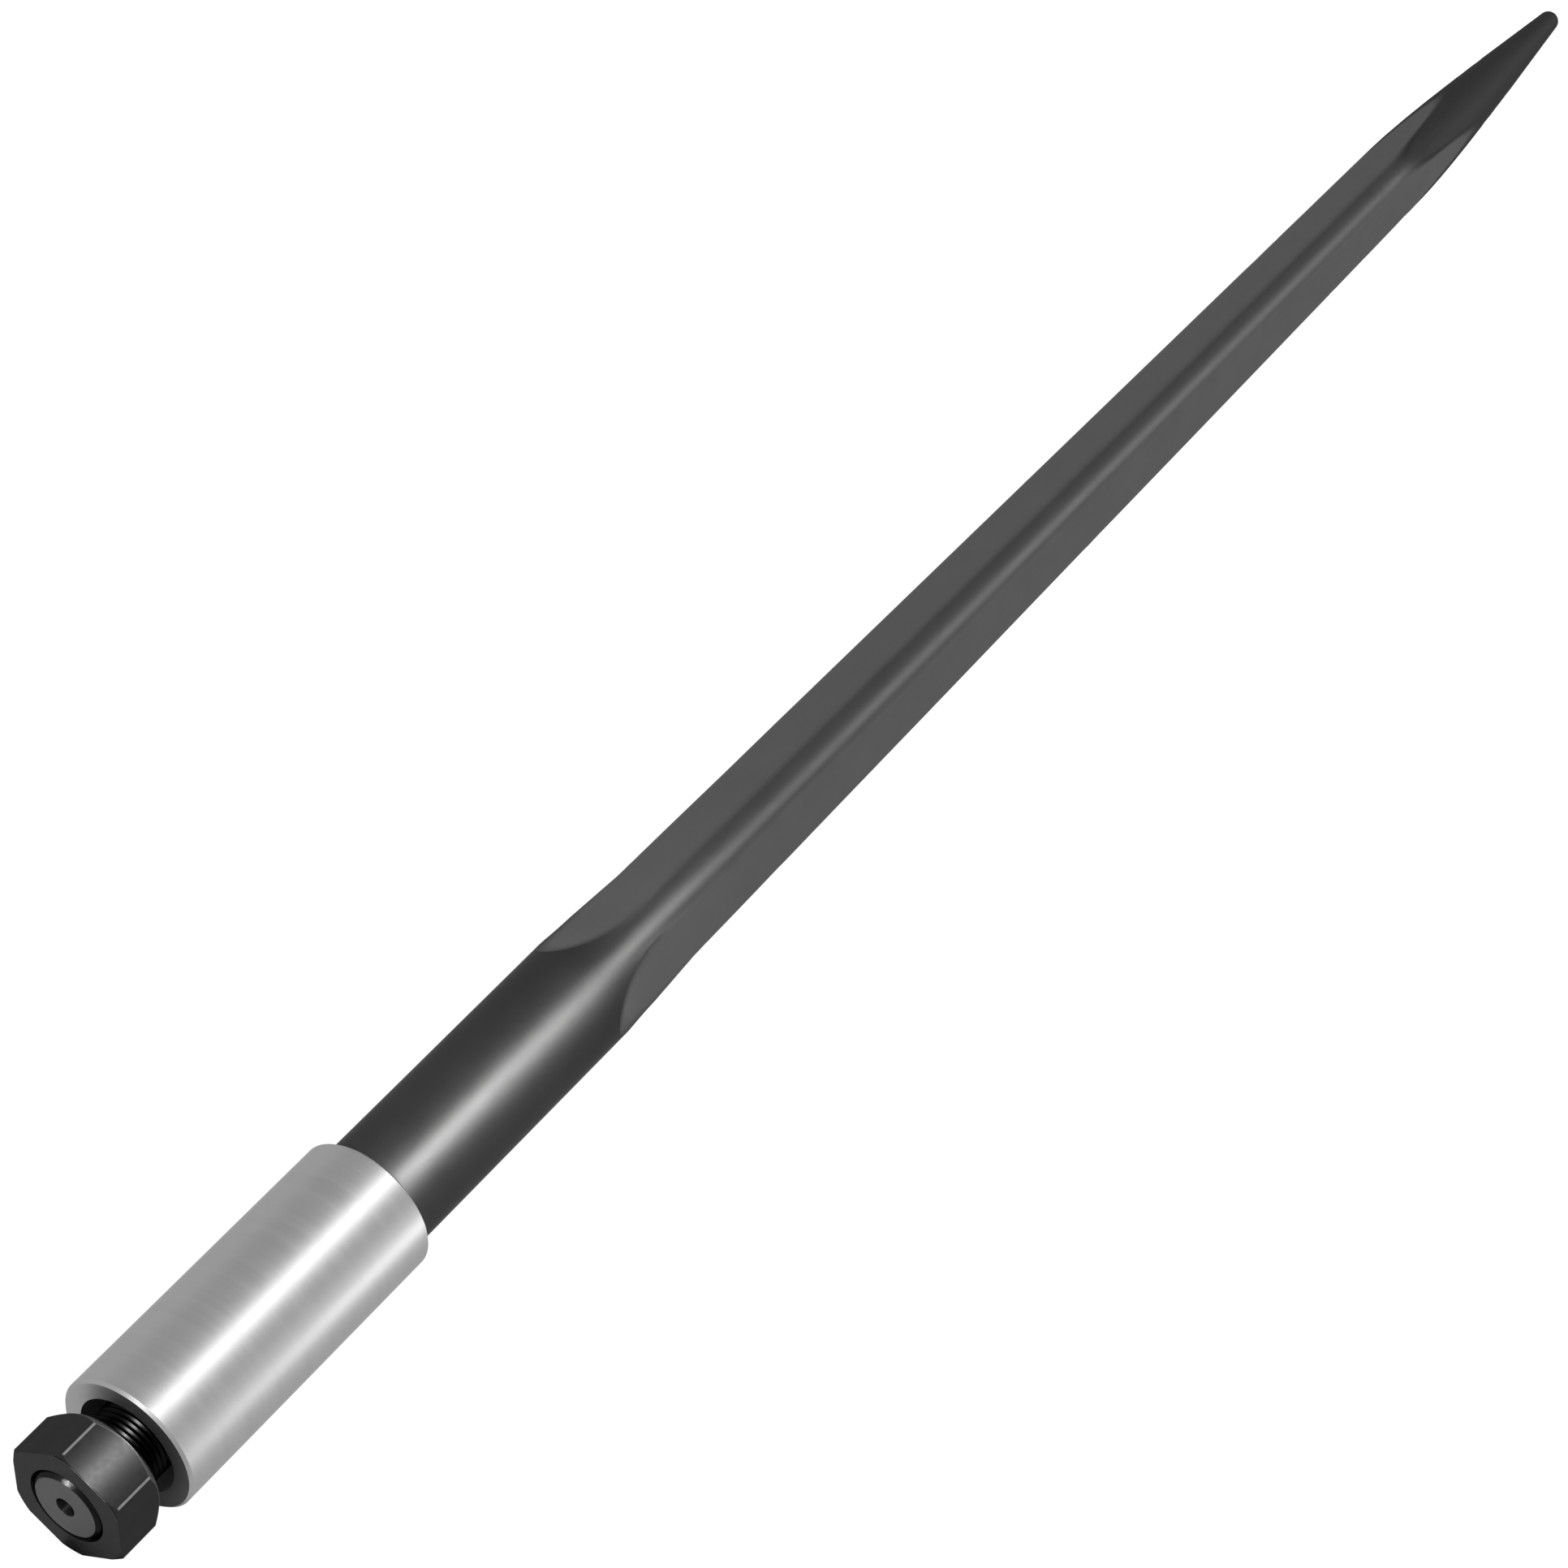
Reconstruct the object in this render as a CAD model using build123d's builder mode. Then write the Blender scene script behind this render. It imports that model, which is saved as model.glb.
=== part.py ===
"""Bale spear: a forged tine drawn into a weld-in sleeve by a hex nut.

Frame: the tine's axis is X and its point looks along +X. The origin is on that axis, halfway along the
sleeve. One ridge of the tine looks up, along +Z. Sizes are in millimetres.
"""

import os
from math import cos, hypot, radians, sin, sqrt, tan

from build123d import *

os.makedirs("parts", exist_ok=True)

# Weld-in sleeve
sleeve_diameter = 51.0
sleeve_length = 120.0
sleeve_rear_bore = 37.0
sleeve_rear_chamfer = 1.0
sleeve_front_chamfer = 0.6

# Tine: seat in the sleeve and plain shank
shank_diameter = 42.0
seat_clearance = 0.1
seat_recess = 14.0
seat_chamfer = 2.0

# Tine: stud behind the seat, at the root diameter of its fine thread
stud_diameter = 26.2
stud_overhang = 29.3
stud_end_chamfer = 1.2
centre_hole_diameter = 7.3

# Tine: plain shank, then a body with three flats that tapers to the point
shank_length = 110.0
body_length = 689.0
shank_end_flat_distance = 15.1
point_end_flat_distance = 10.75
point_end_ridge_height = 14.5

# Tine: where the flats and the ridges run out into the shank
runout_length = 32.0
runout_rise = 0.5
flat_lap = 0.1
ridge_lead = 20.0
ridge_sink = 0.1
fade_lead = 30.0
fade_length = 51.0
fade_sink = 0.3

# Tine: round point, slightly bellied
point_length = 161.0
point_base_radius = 16.9
point_belly = 0.85
point_end_round = 4.3

# Hex nut
nut_across_flats = 41.0
nut_corner_round = 0.8
nut_height = 20.0
nut_setback = 0.7
nut_front_circle = 43.4
nut_front_slope = 30.0
nut_rear_circle = 39.4
nut_rear_slope = 45.0
nut_clearance = 0.15
nut_countersink_diameter = 28.4

# Stations along the axis
sleeve_rear = -sleeve_length / 2
sleeve_front = sleeve_length / 2
stud_end = sleeve_rear - stud_overhang
seat_rear = sleeve_rear + seat_recess
flats_start = sleeve_front + shank_length
runout_foot = flats_start + runout_length
ridge_start = flats_start + ridge_lead
fade_start = flats_start + fade_lead
fade_end = fade_start + fade_length
tip = ridge_start + body_length
point_start = tip - point_length
nut_front = stud_end + nut_setback
nut_rear = nut_front + nut_height

# Radii that several pieces share
shank_radius = shank_diameter / 2
stud_radius = stud_diameter / 2
bore_front_radius = shank_radius + seat_clearance
bore_rear_radius = sleeve_rear_bore / 2
bore_slope = (bore_front_radius - bore_rear_radius) / sleeve_length
seat_rear_radius = bore_rear_radius - seat_clearance + bore_slope * seat_recess

# The body's ridges begin just under the shank's surface
shank_end_ridge_height = shank_radius - ridge_sink
flat_slope = (shank_end_flat_distance - point_end_flat_distance) / body_length
ridge_slope = (shank_end_ridge_height - point_end_ridge_height) / body_length


def flat_distance(x):
    """Distance of the body's flats from the axis at station x."""
    return shank_end_flat_distance - flat_slope * (x - ridge_start)


def ridge_round(x):
    """Radius of the body's ridges at station x: it follows from how far the flats and the ridges stand out."""
    return 2 * flat_distance(x) - (shank_end_ridge_height - ridge_slope * (x - ridge_start))


# Body of the tine: a rounded three-sided bar that narrows to a round point
with BuildPart() as body:
    for station in (ridge_start, tip):
        with BuildSketch(Plane.YZ.offset(station)) as section:
            RegularPolygon(radius=2 * flat_distance(station), side_count=3, rotation=90)
            fillet(section.vertices(), radius=ridge_round(station))
    loft()
    # The point is turned: everything outside a bellied cone with a rounded end goes
    with BuildSketch(Plane.XZ) as point_waste:
        with BuildLine():
            nose = (tip - point_end_round, point_end_round)
            base = (point_start, point_base_radius)
            half_way = ((base[0] + nose[0]) / 2, (base[1] + nose[1]) / 2 + point_belly)
            ThreePointArc(base, half_way, nose)
            diagonal = point_end_round * sqrt(0.5)
            ThreePointArc(nose, (nose[0] + diagonal, diagonal), (tip, 0))
            Polyline((tip, 0), (tip + 5, 0), (tip + 5, 2 * shank_radius), (base[0], 2 * shank_radius), base)
        make_face()
    revolve(axis=Axis.X, mode=Mode.SUBTRACT)

# Tine: stud, seat and shank are turned, the flats run out into the shank, and the body follows on
flat_half_width = sqrt(3) * (flat_distance(fade_end) - ridge_round(fade_end))
fade_radius = hypot(flat_distance(fade_end), flat_half_width) - fade_sink
with BuildPart() as tine:
    with BuildSketch(Plane.XZ) as bar_profile:
        with BuildLine():
            Polyline(
                (stud_end, 0),
                (stud_end, stud_radius - stud_end_chamfer),
                (stud_end + stud_end_chamfer, stud_radius),
                (seat_rear, stud_radius),
                (seat_rear, seat_rear_radius - seat_chamfer),
                (seat_rear + seat_chamfer, seat_rear_radius + bore_slope * seat_chamfer),
                (sleeve_front, shank_radius),
                (fade_start, shank_radius),
                (fade_end, fade_radius),
                (fade_end, 0),
                close=True,
            )
        make_face()
    revolve(axis=Axis.X)
    # Each flat rises out of the bar along a hollow curve
    cut_end = fade_end + 1
    cut_top = 2 * shank_radius
    for angle in (30, 150, 270):
        turn = radians(angle)
        with BuildSketch(Plane(origin=(0, 0, 0), x_dir=(1, 0, 0), z_dir=(0, -sin(turn), cos(turn)))) as runout:
            with BuildLine():
                foot = (runout_foot, flat_distance(runout_foot) - flat_lap)
                crest = (flats_start, shank_radius + runout_rise)
                far = (cut_end, flat_distance(cut_end) - flat_lap)
                TangentArc(foot, crest, tangent=(-1, flat_slope))
                Polyline(crest, (flats_start, cut_top), (cut_end, cut_top), far, foot)
            make_face()
        extrude(amount=2 * shank_radius, both=True, mode=Mode.SUBTRACT)
    # Centre hole in the stud's end face
    with BuildSketch(Plane.XZ) as centre_hole:
        with BuildLine():
            mouth = centre_hole_diameter / 2
            Polyline((stud_end, 0), (stud_end, mouth), (stud_end + mouth / tan(radians(30)), 0), close=True)
        make_face()
    revolve(axis=Axis.X, mode=Mode.SUBTRACT)
    add(body.part)
tine.part.label = "tine"
export_step(tine.part, "parts/tine.step")

# Weld-in sleeve: a tube whose bore is the tine's seat
with BuildPart() as sleeve:
    with BuildSketch(Plane.XZ) as wall:
        with BuildLine():
            Polyline(
                (sleeve_rear, bore_rear_radius),
                (sleeve_rear, sleeve_diameter / 2),
                (sleeve_front, sleeve_diameter / 2),
                (sleeve_front, bore_front_radius),
                close=True,
            )
        make_face()
    revolve(axis=Axis.X)
    rims = sleeve.edges().filter_by(GeomType.CIRCLE)
    rear_rims = rims.group_by(Axis.X)[0].sort_by(SortBy.RADIUS)
    front_rims = rims.group_by(Axis.X)[-1].sort_by(SortBy.RADIUS)
    chamfer(rear_rims[-1], length=sleeve_rear_chamfer)
    chamfer(front_rims[-1], length=sleeve_front_chamfer)
sleeve.part.label = "weld_sleeve"
export_step(sleeve.part, "parts/weld_sleeve.step")

# Hex nut on the stud: two flats are level, and both faces are turned back at the corners
with BuildPart() as nut:
    with BuildSketch(Plane.YZ.offset(nut_front)) as hexagon:
        RegularPolygon(radius=nut_across_flats / 2, side_count=6, major_radius=False)
        fillet(hexagon.vertices(), radius=nut_corner_round)
    extrude(amount=nut_height)
    with BuildSketch(Plane.XZ) as blank:
        with BuildLine():
            blank_radius = nut_across_flats / 2 / cos(radians(30)) + 1
            front_drop = (blank_radius - nut_front_circle / 2) * tan(radians(nut_front_slope))
            rear_drop = (blank_radius - nut_rear_circle / 2) * tan(radians(nut_rear_slope))
            Polyline(
                (nut_front, 0),
                (nut_front, nut_front_circle / 2),
                (nut_front + front_drop, blank_radius),
                (nut_rear - rear_drop, blank_radius),
                (nut_rear, nut_rear_circle / 2),
                (nut_rear, 0),
                close=True,
            )
        make_face()
    revolve(axis=Axis.X, mode=Mode.INTERSECT)
    with BuildSketch(Plane.XZ) as nut_bore:
        with BuildLine():
            bore_radius = stud_radius + nut_clearance
            sink_radius = nut_countersink_diameter / 2
            sink_depth = sink_radius - bore_radius
            Polyline(
                (nut_front, 0),
                (nut_front, sink_radius),
                (nut_front + sink_depth, bore_radius),
                (nut_rear - sink_depth, bore_radius),
                (nut_rear, sink_radius),
                (nut_rear, 0),
                close=True,
            )
        make_face()
    revolve(axis=Axis.X, mode=Mode.SUBTRACT)
nut.part.label = "hex_nut"
export_step(nut.part, "parts/hex_nut.step")
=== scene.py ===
"""Looks of the bale spear: a black forged tine, a bright weld-in sleeve and a black hex nut, on a pale floor.

Stations along the tine's axis, x, and distances from that axis are in millimetres, as in the part's source.
Lamps, the stage and the camera are in metres.
"""

from math import atan2, cos, pi, radians, remainder, sin, tan

import bpy
from mathutils import Matrix, Vector


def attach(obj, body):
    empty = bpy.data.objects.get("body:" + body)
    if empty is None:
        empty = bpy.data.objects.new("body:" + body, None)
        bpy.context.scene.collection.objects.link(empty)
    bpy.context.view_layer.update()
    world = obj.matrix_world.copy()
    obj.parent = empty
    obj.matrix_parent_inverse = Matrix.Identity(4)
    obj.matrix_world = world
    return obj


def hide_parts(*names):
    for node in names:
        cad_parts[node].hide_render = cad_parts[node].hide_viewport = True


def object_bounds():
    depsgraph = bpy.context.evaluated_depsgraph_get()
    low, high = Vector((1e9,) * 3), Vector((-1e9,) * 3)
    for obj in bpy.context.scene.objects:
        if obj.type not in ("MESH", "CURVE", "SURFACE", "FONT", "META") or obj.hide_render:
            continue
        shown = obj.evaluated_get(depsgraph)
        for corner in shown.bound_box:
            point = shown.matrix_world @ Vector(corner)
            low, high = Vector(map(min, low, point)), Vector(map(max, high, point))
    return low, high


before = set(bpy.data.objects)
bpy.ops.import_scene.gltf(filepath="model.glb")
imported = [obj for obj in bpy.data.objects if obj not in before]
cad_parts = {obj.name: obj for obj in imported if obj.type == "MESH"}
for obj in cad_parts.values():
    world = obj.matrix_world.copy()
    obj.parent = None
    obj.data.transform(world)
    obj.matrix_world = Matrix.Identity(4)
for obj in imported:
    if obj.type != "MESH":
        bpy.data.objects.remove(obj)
cad_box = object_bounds()
MM = 0.001

# Body of the tine: how far its flats and ridges stand from the axis at x = 0, and what they lose in a millimetre
FLAT_DISTANCE = 16.2995
FLAT_SLOPE = 0.006313
RIDGE_HEIGHT = 22.6649
RIDGE_SLOPE = 0.009289
RIDGE_ANGLES = (radians(90), radians(210), radians(330))
BODY_END = 705

# Where the streak of light on the round shank narrows to the one on the ridge
PASSAGE_START = 150
PASSAGE_END = 206
RING_SPACING = 8
RING_SLACK = 0.1
NARROWING_START = 161
NARROWING_LENGTH = 54

# A face of the round bar lies further out than this, and looks outwards to within this cosine
FADED_BAR_RADIUS = 20.5
OUTWARDS = 0.99

# Point of the tine: its radius about a station halfway along it
CONE_STATION = 809.2
CONE_RADIUS = 10.2
CONE_SLOPE = -0.0856
CONE_BEND = -0.0001336

# Thread of the stud
PITCH = 2.0
ROOT = 13.12
CREST = 13.95
CREST_WIDTH = 0.14
TURNS = 11
TURN_STEPS = 72
THREAD_START = -69.2

# What several materials share: a smooth step, a mix of colours, the span that most of a noise lies in, the scale that
# draws a pattern out into rings round the axis, and the tint of light that glances off blackened steel. Sockets that
# share a name go by number: in a Map Range, 0 is the value, 1 and 2 its span, and 3 and 4 what that span becomes, and
# in a Mix, 0 is the share, 2 and 3 are the numbers, and 6 and 7 are the colours.
STEP = {"interpolation_type": "SMOOTHSTEP"}
COLOURS = {"data_type": "RGBA"}
NOISE_SPAN = {1: 0.3, 2: 0.7}
ROUND_THE_AXIS = (1.0, 0.03, 0.03)
BLACK_GLANCE = (0.47, 0.47, 0.47, 1)


def linear(code):
    """A colour written as sRGB hex, as the linear colour that the shaders take."""
    channels = [int(code[i:i + 2], 16) / 255 for i in (1, 3, 5)]
    return [c / 12.92 if c <= 0.04045 else ((c + 0.055) / 1.055) ** 2.4 for c in channels] + [1.0]


def add_node(tree, kind, settings, sockets):
    """Adds a node, sets its properties, gives each socket a value or a link, and returns its first live output."""
    made = tree.nodes.new("ShaderNode" + kind)
    for name, value in settings.items():
        setattr(made, name, value)
    for key, value in sockets.items():
        if isinstance(value, bpy.types.NodeSocket):
            tree.links.new(value, made.inputs[key])
        else:
            made.inputs[key].default_value = value
    return next(output for output in made.outputs if output.enabled)


def new_material(name, **sockets):
    """A material whose Principled shader has these constant values."""
    material = bpy.data.materials.new(name)
    material.use_nodes = True
    shader = material.node_tree.nodes["Principled BSDF"]
    for socket, value in sockets.items():
        shader.inputs[socket.replace("_", " ")].default_value = value
    return material


def wire(tree, **outputs):
    """Links outputs of nodes to the sockets of the Principled shader."""
    shader = tree.nodes["Principled BSDF"]
    for socket, output in outputs.items():
        tree.links.new(output, shader.inputs[socket.replace("_", " ")])


def place(tree):
    """Place on the piece in millimetres: the whole vector, its x, y and z, and the distance from the axis."""
    coordinates = add_node(tree, "TexCoord", {}, {}).node.outputs["Object"]
    whole = add_node(tree, "VectorMath", {"operation": "SCALE"}, {0: coordinates, "Scale": 1 / MM})
    x, y, z = add_node(tree, "SeparateXYZ", {}, {0: whole}).node.outputs
    across = add_node(tree, "CombineXYZ", {}, {1: y, 2: z})
    radius = add_node(tree, "VectorMath", {"operation": "LENGTH"}, {0: across})
    return whole, x, y, z, radius


def dress(piece, material):
    """Gives a piece one material all over."""
    piece.data.materials.clear()
    piece.data.materials.append(material)


def finished(node_name, sharp):
    """A copy of a solid that stands for it, its triangles joined and smooth except at edges over sharp degrees."""
    piece = bpy.data.objects.new(node_name + "_finished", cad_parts[node_name].data.copy())
    bpy.context.scene.collection.objects.link(piece)
    bpy.ops.object.select_all(action="DESELECT")
    bpy.context.view_layer.objects.active = piece
    piece.select_set(True)
    bpy.ops.mesh.customdata_custom_splitnormals_clear()
    bpy.ops.object.mode_set(mode="EDIT")
    bpy.ops.mesh.select_all(action="SELECT")
    bpy.ops.mesh.remove_doubles(threshold=0.001 * MM)
    bpy.ops.object.mode_set(mode="OBJECT")
    bpy.ops.object.shade_smooth_by_angle(angle=radians(sharp))
    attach(piece, "root")
    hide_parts(node_name)
    return piece


def section_normal(x, y, z, share):
    """The direction square to the body's rounded section at a place, mixed by share with the round bar's."""
    flat = FLAT_DISTANCE - FLAT_SLOPE * x
    rounding = 2 * flat - (RIDGE_HEIGHT - RIDGE_SLOPE * x)
    ridge = max(RIDGE_ANGLES, key=lambda angle: cos(angle) * y + sin(angle) * z)
    centre = 2 * (flat - rounding)
    turn = remainder(atan2(z - centre * sin(ridge), y - centre * cos(ridge)) - ridge, 2 * pi)
    turn = min(max(turn, -pi / 3), pi / 3)
    bar_turn = remainder(atan2(z, y) - ridge, 2 * pi)
    turn = bar_turn + (turn - bar_turn) * share
    taper = 2 * (RIDGE_SLOPE - FLAT_SLOPE) * cos(turn) + 2 * FLAT_SLOPE - RIDGE_SLOPE
    return Vector((taper * share, cos(ridge + turn), sin(ridge + turn))).normalized()


# Tine: black lacquer over steel. The turned shank and point are darker and throw a soft streak of light, the
# forged flats between them are a duller grey with a faint unevenness, and the end of the stud is bare and grey.
tine_black = new_material(
    "satin black lacquer on steel, turned and as forged", Metallic=0.85, Specular_Tint=BLACK_GLANCE)
tree = tine_black.node_tree
whole, x, y, z, radius = place(tree)

# How far a place stands over the point's cone, and how far it falls short of the flats' planes
along = add_node(tree, "Math", {"operation": "SUBTRACT"}, {0: x, 1: CONE_STATION})
slope = add_node(tree, "Math", {"operation": "MULTIPLY_ADD"}, {0: along, 1: CONE_BEND, 2: CONE_SLOPE})
cone = add_node(tree, "Math", {"operation": "MULTIPLY_ADD"}, {0: along, 1: slope, 2: CONE_RADIUS})
over_cone = add_node(tree, "Math", {"operation": "SUBTRACT"}, {0: radius, 1: cone})
side = add_node(tree, "Math", {"operation": "ABSOLUTE"}, {0: y})
side = add_node(tree, "Math", {"operation": "MULTIPLY"}, {0: side, 1: cos(radians(30))})
upper_flats = add_node(tree, "Math", {"operation": "MULTIPLY_ADD"}, {0: z, 1: sin(radians(30)), 2: side})
lower_flat = add_node(tree, "Math", {"operation": "MULTIPLY"}, {0: z, 1: -1.0})
reach = add_node(tree, "Math", {"operation": "MAXIMUM"}, {0: upper_flats, 1: lower_flat})
flat = add_node(tree, "Math", {"operation": "MULTIPLY_ADD"}, {0: x, 1: -FLAT_SLOPE, 2: FLAT_DISTANCE})
short_of_flat = add_node(tree, "Math", {"operation": "SUBTRACT"}, {0: flat, 1: reach})

# Masks: each is 0 at its first number and 1 at its second
mask_spans = {
    "bar": (radius, 18.3, 21.0),
    "before the body": (x, 222.0, 172.0),
    "cone": (over_cone, -1.3, 0.0),
    "past the body": (x, 722.0, 750.0),
    "nose": (x, 860.0, 868.0),
    "stud": (x, 62.0, 61.0),
    "ridge": (short_of_flat, 0.05, 1.3),
    "run-outs": (x, 220.0, 180.0),
    "end face": (x, -89.0, -89.2),
    "rim": (radius, 11.65, 11.95),
    "near the end": (x, -86.0, -87.0),
    "hole": (radius, 3.75, 3.45),
    "as deep as the hole": (x, -80.0, -81.0),
}
mask = {
    name: add_node(tree, "MapRange", STEP, {0: value, 1: none, 2: full})
    for name, (value, none, full) in mask_spans.items()
}
shank = add_node(tree, "Math", {"operation": "MULTIPLY"}, {0: mask["bar"], 1: mask["before the body"]})
point = add_node(tree, "Math", {"operation": "MULTIPLY"}, {0: mask["cone"], 1: mask["past the body"]})
turned = shank
for other in (point, mask["nose"], mask["stud"]):
    turned = add_node(tree, "Math", {"operation": "MAXIMUM"}, {0: turned, 1: other})
# Painted shade: the chamfered rim at the stud's end and its centre hole are coloured nearly black, standing in for
# the shade in these recesses.
end_rim = add_node(tree, "Math", {"operation": "MULTIPLY"}, {0: mask["rim"], 1: mask["near the end"]})
centre = add_node(tree, "Math", {"operation": "MULTIPLY"}, {0: mask["hole"], 1: mask["as deep as the hole"]})
recess_shade = add_node(tree, "Math", {"operation": "MAXIMUM"}, {0: end_rim, 1: centre})

# The flats' own grey and dullness come first, and each later surface covers what is before it
colour = linear("#585858")
# Painted shade: the rounded ridges are coloured darker than the flats, standing in for the shade along them. The
# run-outs are coloured a little darker than the flats too.
tints = (
    (mask["run-outs"], "#525252"), (mask["ridge"], "#444444"), (turned, "#2c2c2c"), (point, "#333333"),
    (mask["nose"], "#333333"), (mask["end face"], "#4a4a4a"), (recess_shade, "#101010"),
)
for surface, code in tints:
    colour = add_node(tree, "Mix", COLOURS, {0: surface, 6: colour, 7: linear(code)})
roughness = 0.55
dullness = ((mask["ridge"], 0.52), (turned, 0.46), (point, 0.7), (mask["nose"], 0.7), (recess_shade, 0.3))
for surface, value in dullness:
    roughness = add_node(tree, "Mix", {}, {0: surface, 2: roughness, 3: value})

# Patches of about 14 mm, a few percent lighter or darker
patches = add_node(tree, "TexNoise", {}, {"Vector": whole, "Scale": 0.07, "Detail": 5.0, "Roughness": 0.6})
shade = add_node(tree, "MapRange", {}, {0: patches, **NOISE_SPAN, 3: 0.95, 4: 1.05})
colour = add_node(tree, "VectorMath", {"operation": "SCALE"}, {0: colour, "Scale": shade})
grain = add_node(tree, "MapRange", {}, {0: patches, **NOISE_SPAN, 3: -0.03, 4: 0.03})
roughness = add_node(tree, "Math", {"operation": "ADD"}, {0: roughness, 1: grain})

# Scale pits of about 3 mm on the flats, and turning rings elsewhere, drawn coarser than the tool leaves them
pits = add_node(tree, "TexNoise", {}, {"Vector": whole, "Scale": 0.3, "Detail": 3.0})
drawn_out = add_node(tree, "VectorMath", {"operation": "MULTIPLY"}, {0: whole, 1: ROUND_THE_AXIS})
rings = add_node(tree, "TexNoise", {}, {"Vector": drawn_out, "Scale": 0.6, "Detail": 2.0})
rings = add_node(tree, "Math", {"operation": "MULTIPLY"}, {0: rings, 1: 0.15})
marks = add_node(tree, "Mix", {}, {0: turned, 2: pits, 3: rings})
bump = add_node(tree, "Bump", {}, {"Height": marks, "Distance": 0.03 * MM})
wire(tree, Base_Color=colour, Roughness=roughness, Normal=bump)

# Rings of points where the shank passes into the body, for light to narrow there step by step
tine = finished("tine", sharp=16)
bpy.ops.object.mode_set(mode="EDIT")
for station in range(PASSAGE_START, PASSAGE_END + 1, RING_SPACING):
    bpy.ops.mesh.select_all(action="SELECT")
    bpy.ops.mesh.bisect(plane_co=(station * MM, 0, 0), plane_no=(1, 0, 0))
bpy.ops.object.mode_set(mode="OBJECT")

# Long thin triangles bend light unevenly, so along the plain body light follows the true section instead, and
# towards the end of the shank it narrows to the ridge's streak. A zero keeps the mesh's own direction.
normals = [Vector((0, 0, 0))] * len(tine.data.loops)
for face in tine.data.polygons:
    out = Vector((0, face.center.y, face.center.z))
    on_bar = out.length > FADED_BAR_RADIUS * MM and face.normal.dot(out.normalized()) > OUTWARDS
    for loop, corner in zip(face.loop_indices, face.vertices):
        spot = tine.data.vertices[corner].co / MM
        on_body = PASSAGE_END - RING_SLACK < spot.x < BODY_END
        in_passage = on_bar and PASSAGE_START - RING_SLACK < spot.x < PASSAGE_END
        if on_body or in_passage:
            step = min(max((spot.x - NARROWING_START) / NARROWING_LENGTH, 0), 1)
            normals[loop] = section_normal(*spot, share=step * step * (3 - 2 * step))
tine.data.normals_split_custom_set(normals)
dress(tine, tine_black)

# Sleeve: bright turned steel, whose fine turning rings spread light round it into long soft streaks. The rings are
# drawn about 2 mm apart, coarser than the tool leaves them.
sleeve_steel = new_material("bright turned steel", Metallic=1.0, Specular_Tint=(0.7, 0.7, 0.7, 1))
tree = sleeve_steel.node_tree
whole, *_ = place(tree)
drawn_out = add_node(tree, "VectorMath", {"operation": "MULTIPLY"}, {0: whole, 1: ROUND_THE_AXIS})
rings = add_node(tree, "TexNoise", {}, {"Vector": drawn_out, "Scale": 0.5, "Detail": 4.0})
shade = add_node(tree, "MapRange", {}, {0: rings, **NOISE_SPAN, 3: 0.97, 4: 1.03})
colour = add_node(tree, "VectorMath", {"operation": "SCALE"}, {0: linear("#9b9b9b")[:3], "Scale": shade})
roughness = add_node(tree, "MapRange", {}, {0: rings, **NOISE_SPAN, 3: 0.4, 4: 0.44})
bump = add_node(tree, "Bump", {}, {"Height": rings, "Distance": 0.003 * MM})
wire(tree, Base_Color=colour, Roughness=roughness, Normal=bump)
sleeve = finished("weld_sleeve", sharp=30)
dress(sleeve, sleeve_steel)

# Nut: black oxide, so nearly black, with flats a little crowned by forging that light fades across, a front face
# painted a little lighter where light falls on it, painted highlights along its corners and rear rim, and painted
# shade in the countersinks.
nut_oxide = new_material("black oxide steel", Metallic=1.0, Specular_Tint=BLACK_GLANCE)
tree = nut_oxide.node_tree
whole, x, _, _, radius = place(tree)
# Masks for painted light: the lighter front face, the highlights along the corners and the rear rim, and the shade in
# the countersinks
front = add_node(tree, "MapRange", STEP, {0: x, 1: -88.2, 2: -88.5})
corner_highlights = add_node(tree, "MapRange", STEP, {0: radius, 1: 23.38, 2: 23.47})
off_front = add_node(tree, "MapRange", STEP, {0: x, 1: -87.6, 2: -86.9})
corner_highlights = add_node(tree, "Math", {"operation": "MULTIPLY"}, {0: corner_highlights, 1: off_front})
rim = add_node(tree, "Math", {"operation": "ADD"}, {0: x, 1: radius})
rim = add_node(tree, "MapRange", STEP, {0: rim, 1: -49.2, 2: -48.95})
countersink_shade = add_node(tree, "MapRange", STEP, {0: radius, 1: 14.35, 2: 14.15})
colour = linear("#333333")
for surface, code in ((front, "#3e3e3e"), (rim, "#5c5c5c"), (corner_highlights, "#8e8e8e"), (countersink_shade, "#0e0e0e")):
    colour = add_node(tree, "Mix", COLOURS, {0: surface, 6: colour, 7: linear(code)})

# Grain of about 2 mm, drawn coarser than the real one so that it shows
grain = add_node(tree, "TexNoise", {}, {"Vector": whole, "Scale": 0.5, "Detail": 4.0})
shade = add_node(tree, "MapRange", {}, {0: grain, **NOISE_SPAN, 3: 0.95, 4: 1.05})
colour = add_node(tree, "VectorMath", {"operation": "SCALE"}, {0: colour, "Scale": shade})
roughness = add_node(tree, "MapRange", {}, {0: grain, **NOISE_SPAN, 3: 0.38, 4: 0.43})
roughness = add_node(tree, "Mix", {}, {0: countersink_shade, 2: roughness, 3: 0.3})

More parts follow.
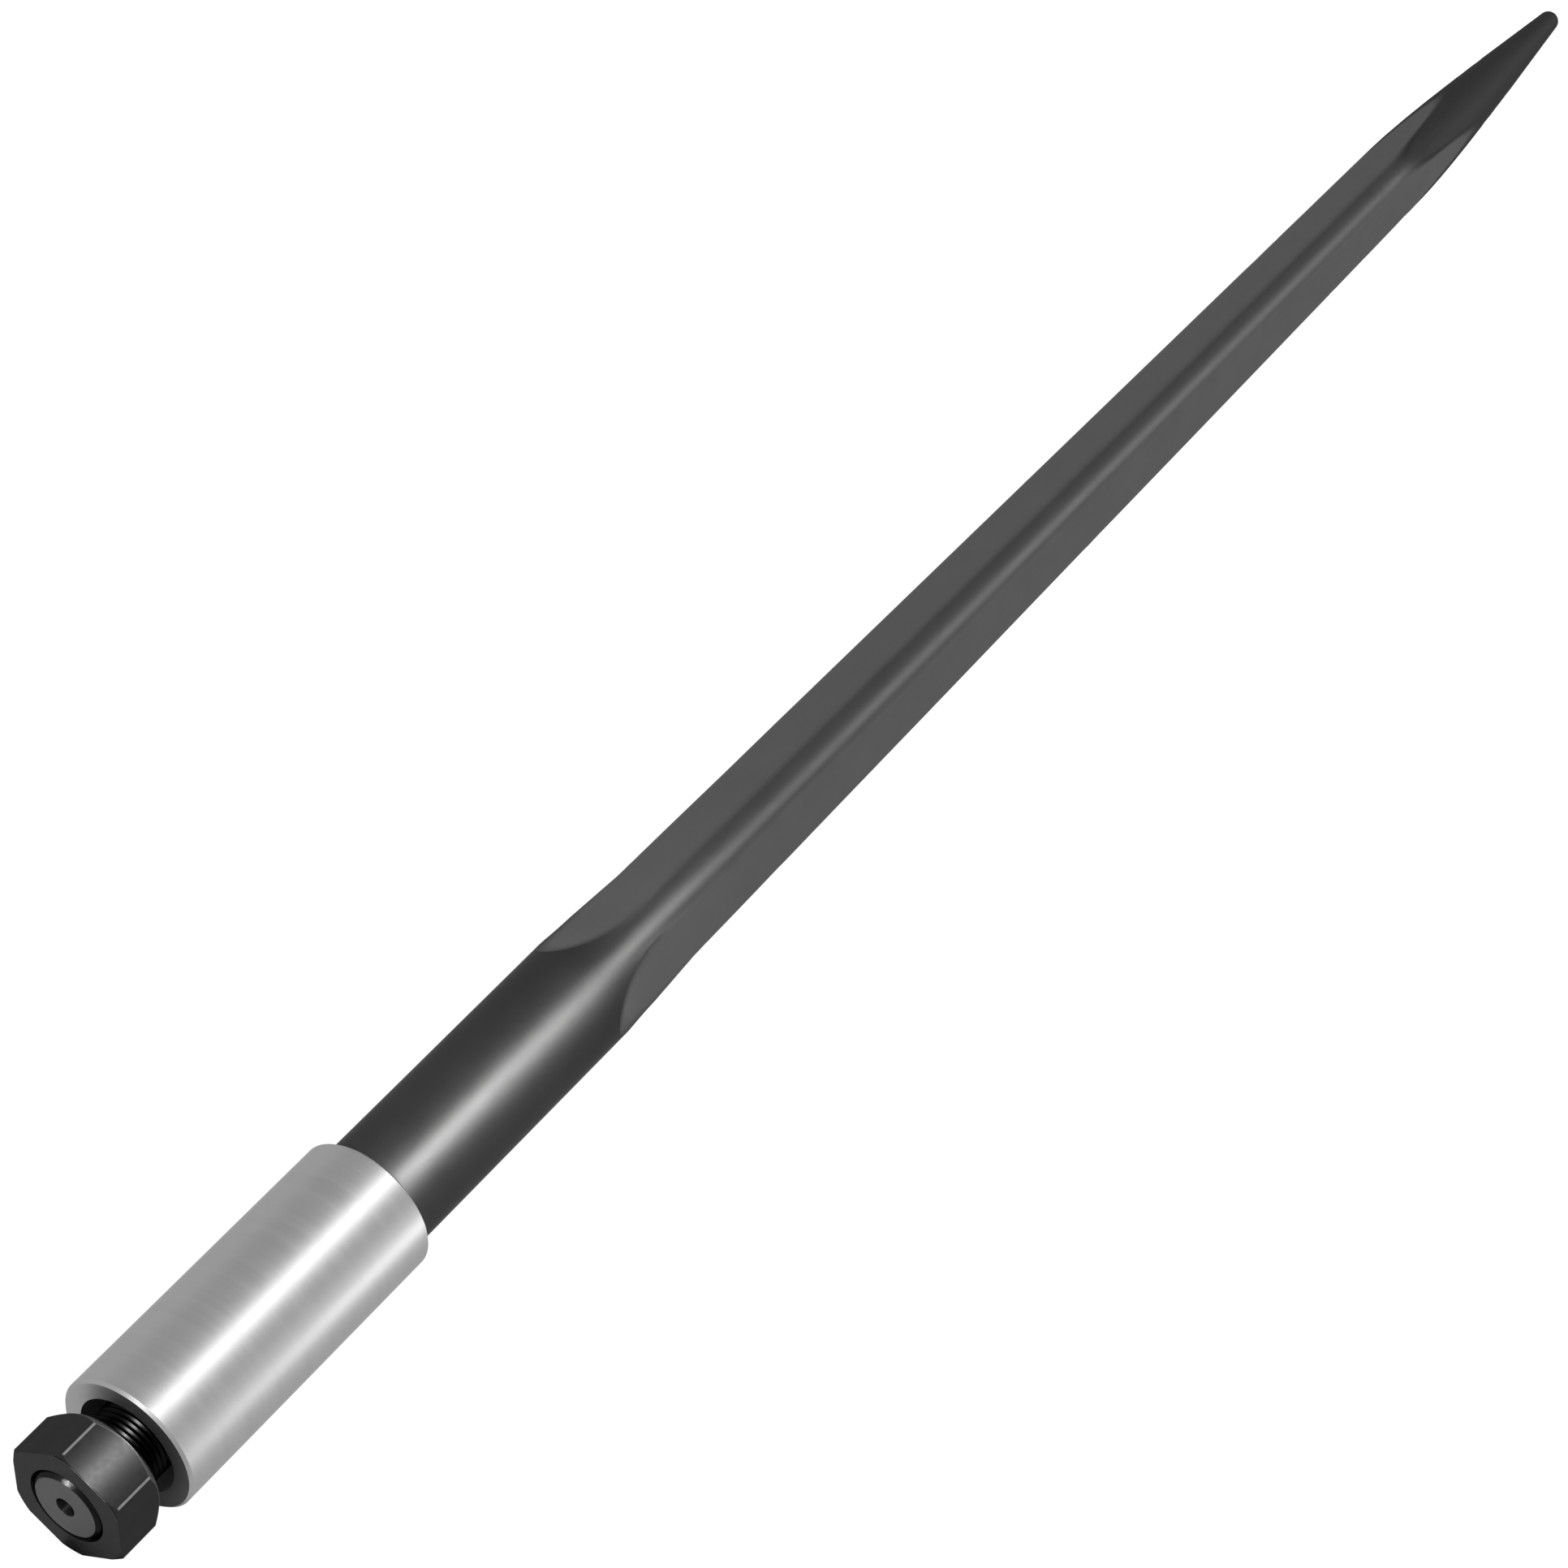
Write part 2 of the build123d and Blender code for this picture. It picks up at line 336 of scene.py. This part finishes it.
# Crown: each flat falls with the square of the distance from its middle line, and the front face stays level
HALF_ACROSS_FLATS = 20.5
CROWN_FALL = 0.014
GRAIN_DEPTH = 0.004
square = add_node(tree, "Math", {"operation": "POWER"}, {0: radius, 1: 2.0})
off_middle = add_node(tree, "Math", {"operation": "SUBTRACT"}, {0: square, 1: HALF_ACROSS_FLATS ** 2})
off_middle = add_node(tree, "Math", {"operation": "MAXIMUM"}, {0: off_middle, 1: 0.0})
behind = add_node(tree, "Math", {"operation": "SUBTRACT"}, {0: 1.0, 1: front})
crown = add_node(tree, "Math", {"operation": "MULTIPLY"}, {0: off_middle, 1: behind})
height = add_node(tree, "Math", {"operation": "MULTIPLY"}, {0: crown, 1: -CROWN_FALL})
height = add_node(tree, "Math", {"operation": "MULTIPLY_ADD"}, {0: grain, 1: GRAIN_DEPTH, 2: height})
bump = add_node(tree, "Bump", {}, {"Height": height, "Distance": MM})
wire(tree, Base_Color=colour, Roughness=roughness, Normal=bump)
nut = finished("hex_nut", sharp=24)
dress(nut, nut_oxide)

# Thread of the stud, between the nut and the tine's seat: one tooth's outline, open below, that a screw winds round
above_root = (ROOT + 0.1) * MM
tooth_middle = (THREAD_START + PITCH / 2) * MM
bpy.ops.object.select_all(action="DESELECT")
bpy.ops.mesh.primitive_plane_add(
    size=PITCH * MM, location=(tooth_middle, 0, (ROOT + PITCH / 2) * MM), rotation=(radians(90), 0, 0))
thread = bpy.context.object
thread.name = "stud_thread"
bpy.ops.object.transform_apply(location=True, rotation=True, scale=True)
bpy.ops.object.mode_set(mode="EDIT")
bpy.ops.mesh.select_all(action="SELECT")
bpy.ops.mesh.delete(type="ONLY_FACE")
bpy.ops.object.mode_set(mode="OBJECT")
for edge in thread.data.edges:
    edge.select = all(thread.data.vertices[i].co.z < above_root for i in edge.vertices)
bpy.ops.object.mode_set(mode="EDIT")
bpy.ops.mesh.select_mode(type="EDGE")
bpy.ops.mesh.delete(type="EDGE")
bpy.ops.object.mode_set(mode="OBJECT")
for vertex in thread.data.vertices:
    vertex.select = vertex.co.z > above_root
bpy.ops.object.mode_set(mode="EDIT")
bpy.ops.mesh.select_mode(type="VERT")
bpy.ops.transform.resize(value=(CREST_WIDTH, 1, 1), center_override=(tooth_middle, 0, ROOT * MM))
bpy.ops.transform.resize(value=(1, 1, (CREST - ROOT) / PITCH), center_override=(0, 0, ROOT * MM))
bpy.ops.object.mode_set(mode="OBJECT")
screw = thread.modifiers.new("thread", "SCREW")
screw.axis = "X"
screw.angle = 2 * pi
screw.screw_offset = PITCH * MM
screw.iterations = TURNS
screw.steps = TURN_STEPS
screw.render_steps = TURN_STEPS
screw.use_merge_vertices = True
bpy.ops.object.modifier_apply(modifier="thread")
bpy.ops.object.mode_set(mode="EDIT")
bpy.ops.mesh.select_all(action="SELECT")
bpy.ops.mesh.remove_doubles(threshold=0.001 * MM)
bpy.ops.mesh.normals_make_consistent(inside=False)
bpy.ops.object.mode_set(mode="OBJECT")
bpy.ops.object.shade_smooth_by_angle(angle=radians(30))

# Cut thread, blacked and oiled: almost black, the roots painted a little darker than the crests as shade in the
# grooves, with a wet gleam on the crests that a film of oil makes uneven, in patches of 2 to 3 mm
thread_steel = new_material("oiled black oxide steel, cut thread", Metallic=1.0, Specular_Tint=BLACK_GLANCE)
tree = thread_steel.node_tree
whole, *_, radius = place(tree)
film = add_node(tree, "TexNoise", {}, {"Vector": whole, "Scale": 0.4, "Detail": 3.0})
shade = add_node(tree, "MapRange", {}, {0: film, **NOISE_SPAN, 3: 0.9, 4: 1.1})
# Painted shade: the roots are coloured darker than the crests
crests = add_node(tree, "MapRange", STEP, {0: radius, 1: 13.5, 2: 13.9})
colour = add_node(tree, "Mix", COLOURS, {0: crests, 6: linear("#0f0f0f"), 7: linear("#131313")})
colour = add_node(tree, "VectorMath", {"operation": "SCALE"}, {0: colour, "Scale": shade})
roughness = add_node(tree, "MapRange", {}, {0: film, **NOISE_SPAN, 3: 0.24, 4: 0.3})
wire(tree, Base_Color=colour, Roughness=roughness)
dress(thread, thread_steel)
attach(thread, "root")

# Floor under the sleeve: a lit white table, as for pictures on plain white
FLOOR_SIZE = 40
floor_height = cad_box[0].z
bpy.ops.object.select_all(action="DESELECT")
bpy.ops.mesh.primitive_plane_add(size=FLOOR_SIZE, location=(0, 0, floor_height))
floor = bpy.context.object
floor.name = "floor"
floor_white = new_material(
    "lit white table", Base_Color=(0.1, 0.1, 0.1, 1), Roughness=1.0, Specular_IOR_Level=0.0,
    Emission_Color=(1, 1, 1, 1), Emission_Strength=0.98)
dress(floor, floor_white)

# A black card beside the nut, seen only in the sleeve's end face, where it puts a painted dark reflection that stands
# in for shade on the floor beside the nut
CARD_SPOT = (-0.077, -0.022)
CARD_SIZE = (0.042, 0.03)
CARD_LIFT = 0.0005
bpy.ops.object.select_all(action="DESELECT")
bpy.ops.mesh.primitive_plane_add(size=1, location=(*CARD_SPOT, floor_height + CARD_LIFT))
card = bpy.context.object
card.name = "black card"
card.scale = (*CARD_SIZE, 1)
bpy.ops.object.transform_apply(location=False, rotation=False, scale=True)
card_black = new_material("black card", Base_Color=(0.01, 0.01, 0.01, 1), Roughness=1.0, Specular_IOR_Level=0.0)
dress(card, card_black)
card.visible_camera = False
card.visible_diffuse = False
card.visible_shadow = False

# Soft white surroundings
SURROUNDINGS = 0.78
scene = bpy.context.scene
scene.view_settings.view_transform = "Standard"
world = bpy.data.worlds.new("white studio")
world.use_nodes = True
world.node_tree.nodes["Background"].inputs["Color"].default_value = (1, 1, 1, 1)
world.node_tree.nodes["Background"].inputs["Strength"].default_value = SURROUNDINGS
scene.world = world


def soft_box(name, lit, spot, target, along, width, length, brightness, spread=180):
    """A soft rectangular lamp that faces target and lights some pieces only. Its length runs along a direction."""
    data = bpy.data.lights.new(name, "AREA")
    data.shape = "RECTANGLE"
    data.size = width
    data.size_y = length
    data.energy = brightness * pi * width * length
    if spread < 180:
        # A grid over the lamp makes it brighter along its beam, and the energy takes that back
        half = radians(spread) / 2
        data.spread = 2 * half
        data.energy *= 1 - half / tan(half)
    lamp = bpy.data.objects.new(name, data)
    scene.collection.objects.link(lamp)
    back = (Vector(spot) - Vector(target)).normalized()
    across = Vector(along).cross(back).normalized()
    lamp.matrix_world = Matrix.Translation(spot) @ Matrix((across, back.cross(across), back)).transposed().to_4x4()
    lamp.visible_camera = False
    receivers = bpy.data.collections.new(name)
    for piece in lit:
        receivers.objects.link(piece)
    lamp.light_linking.receiver_collection = receivers
    lamp.light_linking.blocker_collection = receivers


ALONG_TINE = (1, 0, 0)
UPRIGHT = (0, 0, 1)
soft_box("over the sleeve", [sleeve], (0.82, 0.09, 1.5), (0, 0, 0), ALONG_TINE,
         width=0.1, length=0.9, brightness=39)
soft_box("right of the sleeve", [sleeve], (0.92, -1.25, 0.15), (0, 0, 0), UPRIGHT,
         width=0.3, length=0.3, brightness=15)
soft_box("high right of the sleeve", [sleeve], (1.0, -1.2, 0.75), (0, 0, 0), UPRIGHT,
         width=0.6, length=0.6, brightness=1.2)
soft_box("behind the sleeve", [sleeve], (-1.28, 0.56, 0.9), (0, 0, 0), UPRIGHT,
         width=0.3, length=0.3, brightness=35)
soft_box("over the nut", [nut], (0.65, 0.05, 1.5), (-0.08, 0, 0), ALONG_TINE,
         width=0.2, length=0.4, brightness=75)
soft_box("over the shank", [tine], (0.88, -0.28, 1.5), (0.081, 0, 0), ALONG_TINE,
         width=0.4, length=0.12, brightness=2600, spread=8.4)
soft_box("over the body", [tine], (1.75, -0.83, 1.5), (0.5, 0, 0), ALONG_TINE,
         width=0.74, length=0.9, brightness=11.5)
soft_box("behind the stud", [tine], (-1.43, 0.76, 0.44), (-0.09, 0, 0), UPRIGHT,
         width=0.25, length=0.25, brightness=1200, spread=8)
soft_box("behind the thread", [thread], (-1.47, 0.38, 0.69), (-0.06, 0, 0), UPRIGHT,
         width=0.25, length=0.25, brightness=250)

# Streaks for views from the point's side, which the camera's own view hardly sees
soft_box("behind the sleeve, high", [sleeve, nut], (-0.9, -0.1, 1.5), (0, 0, 0), ALONG_TINE,
         width=0.1, length=0.9, brightness=25)
soft_box("behind the tine, high", [tine], (-0.6, 0.2, 1.5), (0.4, 0, 0), ALONG_TINE,
         width=0.3, length=0.9, brightness=20)

# Camera: behind and above the nut, looking along the spear, turned so that the spear climbs to the right
CAMERA_SPOT = (-0.74765, 0, 1.3776)
CAMERA_HEADING = 0.0429
CAMERA_DIP = 52.728
CAMERA_ROLL = 44.9013
camera_data = bpy.data.cameras.new("camera")
camera_data.sensor_width = 36
camera_data.lens = 112.79
camera = bpy.data.objects.new("camera", camera_data)
scene.collection.objects.link(camera)
camera.matrix_world = (
    Matrix.Translation(CAMERA_SPOT)
    @ Matrix.Rotation(radians(CAMERA_HEADING - 90), 4, "Z")
    @ Matrix.Rotation(radians(90 - CAMERA_DIP), 4, "X")
    @ Matrix.Rotation(radians(CAMERA_ROLL), 4, "Z")
)
scene.camera = camera
